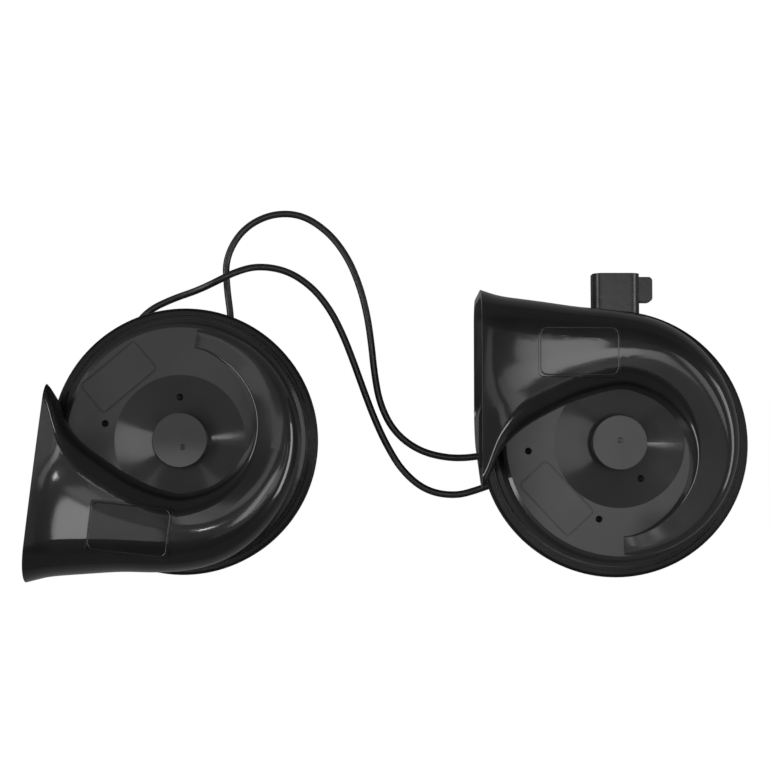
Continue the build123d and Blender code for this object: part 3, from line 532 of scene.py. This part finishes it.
HIGH_MOUTH = (-42.6, -25)       # where the gloss dies away at each mouth, and where it is full
LOW_MOUTH = (-41, -35.5)
SLOT_MATERIALS = {
    "shell": glossy_shell("glossy_black_plastic", HIGH, 0.0, *HIGH_MOUTH),
    "can": satin_can(),
    "spring_steel": plated("spring_steel", (0.42, 0.43, 0.46), (0.58, 0.59, 0.61), 0.32),
    "gasket": sheet_gasket(),
    "iron": plated("soft_iron", (0.4, 0.39, 0.37), (0.56, 0.55, 0.52), 0.4),
    "stud": plated("zinc_plate", (0.5, 0.47, 0.38), (0.66, 0.63, 0.55), 0.34),
    "bobbin": textured_plastic("spool_plastic", 0.05, 0.08, 0.5),
    "copper": plated("enamelled_copper", (0.42, 0.13, 0.05), (0.6, 0.23, 0.09), 0.3, 0.8),
    "brass": plated("brass", (0.6, 0.43, 0.18), (0.75, 0.58, 0.28), 0.3),
    "cover": textured_plastic("cover_plastic", 0.014, 0.022, 0.48),
    "connector": textured_plastic("connector_plastic", 0.012, 0.018, 0.3),
    "tin": plated("tin_plate", (0.66, 0.66, 0.65), (0.8, 0.8, 0.79), 0.25),
    "lead": insulation(),
}


def dress_nodes():
    """Give every carried-over node the finish of its slot, and the low shell its own."""
    for entry in frame["record"]["subparts"]:
        node = NODES[entry["node"]]
        node.data.materials.clear()
        node.data.materials.append(SLOT_MATERIALS[entry["material_slot"]])
    low_shell = glossy_shell("glossy_black_plastic_low", LOW, LOW_TURN, *LOW_MOUTH,
                             field=in_row(LOW, LOW_TURN, *LOW_FIELD))
    for node in ("low_front_shell", "low_rear_shell"):
        NODES[node].data.materials[0] = low_shell


dress_nodes()
for lead in (lead_a, lead_b):
    lead.data.materials.append(SLOT_MATERIALS["lead"])
add_details()


# ------------------------------------------------------------------ studio
FLOOR_HALF = 3.0
FLOOR_DROP = -0.2 * MM
FLOOR_TONE = 0.25           # what the horns see; the camera sees the floor near white
FLOOR_ROUGHNESS = 0.9
FLOOR_SPECULAR = 0.1
FLOOR_GLOW = 1.1
FLOOR_GLOW_SHARE = 0.9      # the rest still takes light and shadow
WORLD_TONE = 0.14
PANEL_HEIGHT = 0.8          # metres, as all the panels' measures
SIDE_PANELS = (("side_left", -0.9, 1.3), ("side_right", 0.9, 0.75))    # x, width
SIDE_Y, SIDE_HEIGHT, SIDE_DEPTH, SIDE_GLARE = -0.05, 0.55, 0.3, 5.5


def add_floor():
    """Plain floor that the camera sees near white and the horns see grey."""
    mesh = bpy.data.meshes.new("floor")
    half = FLOOR_HALF
    corners = [(-half, -half, 0), (half, -half, 0), (half, half, 0), (-half, half, 0)]
    mesh.from_pydata(corners, [], [(0, 1, 2, 3)])
    floor = bpy.data.objects.new("floor", mesh)
    bpy.context.scene.collection.objects.link(floor)
    floor.location.z = FLOOR_DROP
    material = bpy.data.materials.new("studio_floor")
    material.use_nodes = True
    nodes = material.node_tree.nodes
    links = material.node_tree.links
    surface = nodes["Principled BSDF"]
    surface.inputs["Base Color"].default_value = (FLOOR_TONE,) * 3 + (1.0,)
    surface.inputs["Roughness"].default_value = FLOOR_ROUGHNESS
    surface.inputs["Specular IOR Level"].default_value = FLOOR_SPECULAR
    glow = nodes.new("ShaderNodeEmission")
    glow.inputs["Color"].default_value = (1, 1, 1, 1)
    glow.inputs["Strength"].default_value = FLOOR_GLOW
    rays = nodes.new("ShaderNodeLightPath")
    share = nodes.new("ShaderNodeMath")
    share.operation = "MULTIPLY"
    share.inputs[1].default_value = FLOOR_GLOW_SHARE
    links.new(rays.outputs["Is Camera Ray"], share.inputs[0])
    mix = nodes.new("ShaderNodeMixShader")
    links.new(share.outputs[0], mix.inputs["Fac"])
    links.new(surface.outputs["BSDF"], mix.inputs[1])
    links.new(glow.outputs["Emission"], mix.inputs[2])
    links.new(mix.outputs["Shader"], nodes["Material Output"].inputs["Surface"])
    mesh.materials.append(material)


def add_world():
    """Grey surroundings for the horns, white ones for the camera."""
    world = bpy.data.worlds.new("studio")
    world.use_nodes = True
    nodes, links = world.node_tree.nodes, world.node_tree.links
    background = nodes["Background"]
    background.inputs["Color"].default_value = (WORLD_TONE,) * 3 + (1.0,)
    background.inputs["Strength"].default_value = 1.0
    pale = nodes.new("ShaderNodeBackground")        # the wall that the camera sees
    pale.inputs["Color"].default_value = (1, 1, 1, 1)
    rays = nodes.new("ShaderNodeLightPath")
    mix = nodes.new("ShaderNodeMixShader")
    links.new(rays.outputs["Is Camera Ray"], mix.inputs["Fac"])
    links.new(background.outputs["Background"], mix.inputs[1])
    links.new(pale.outputs["Background"], mix.inputs[2])
    links.new(mix.outputs["Shader"], nodes["World Output"].inputs["Surface"])
    bpy.context.scene.world = world


def add_panel(name, place, turn, width, depth, glare):
    """A soft panel of even brightness; glare is its radiance against a white of 1."""
    data = bpy.data.lights.new(name, "AREA")
    data.shape = "RECTANGLE"
    data.size, data.size_y = width, depth
    data.energy = glare * math.pi * width * depth
    lamp = bpy.data.objects.new(name, data)
    bpy.context.scene.collection.objects.link(lamp)
    lamp.location = place
    lamp.rotation_euler = turn


# panels above the set, facing down: left, right, front and back edge in metres, glare
OVERHEAD = {
    "middle": (0.028, 0.075, -0.045, 0.13, 7.2),
    "face_right": (0.095, 0.2, -0.09, 0.155, 3.3),
    "bell_right": (0.2, 0.27, -0.045, 0.06, 3.3),
    "duct_right": (0.27, 0.34, -0.09, 0.05, 2.6),
    "start_right": (0.03, 0.35, -0.27, -0.09, 0.5),
    "dish_right": (0.385, 0.46, -0.15, 0.15, 3.4),
    "bell_left": (-0.22, -0.135, -0.16, 0.01, 4.2),
    "face_left": (-0.31, -0.11, 0.02, 0.13, 1.4),
    "start_left": (-0.33, -0.03, 0.13, 0.205, 2.1),
    "streak_right": (-0.055, -0.03, 0.01, 0.03, 30.0),
    "streak_left": (-0.445, -0.395, -0.01, 0.01, 18.0),
}


def add_lights():
    """Overhead panels facing down, and one at each side turned to the set."""
    for name, (left, right, front, back, glare) in OVERHEAD.items():
        place = ((left + right) / 2, (front + back) / 2, PANEL_HEIGHT)
        add_panel(name, place, (0, 0, 0), right - left, back - front, glare)
    for name, x, width in SIDE_PANELS:
        place = Vector((x, SIDE_Y, SIDE_HEIGHT))
        turn = place.to_track_quat("Z", "Y").to_euler()
        add_panel(name, place, turn, width, SIDE_DEPTH, SIDE_GLARE)


add_floor()
add_world()
add_lights()

bpy.context.scene.view_settings.view_transform = "Standard"
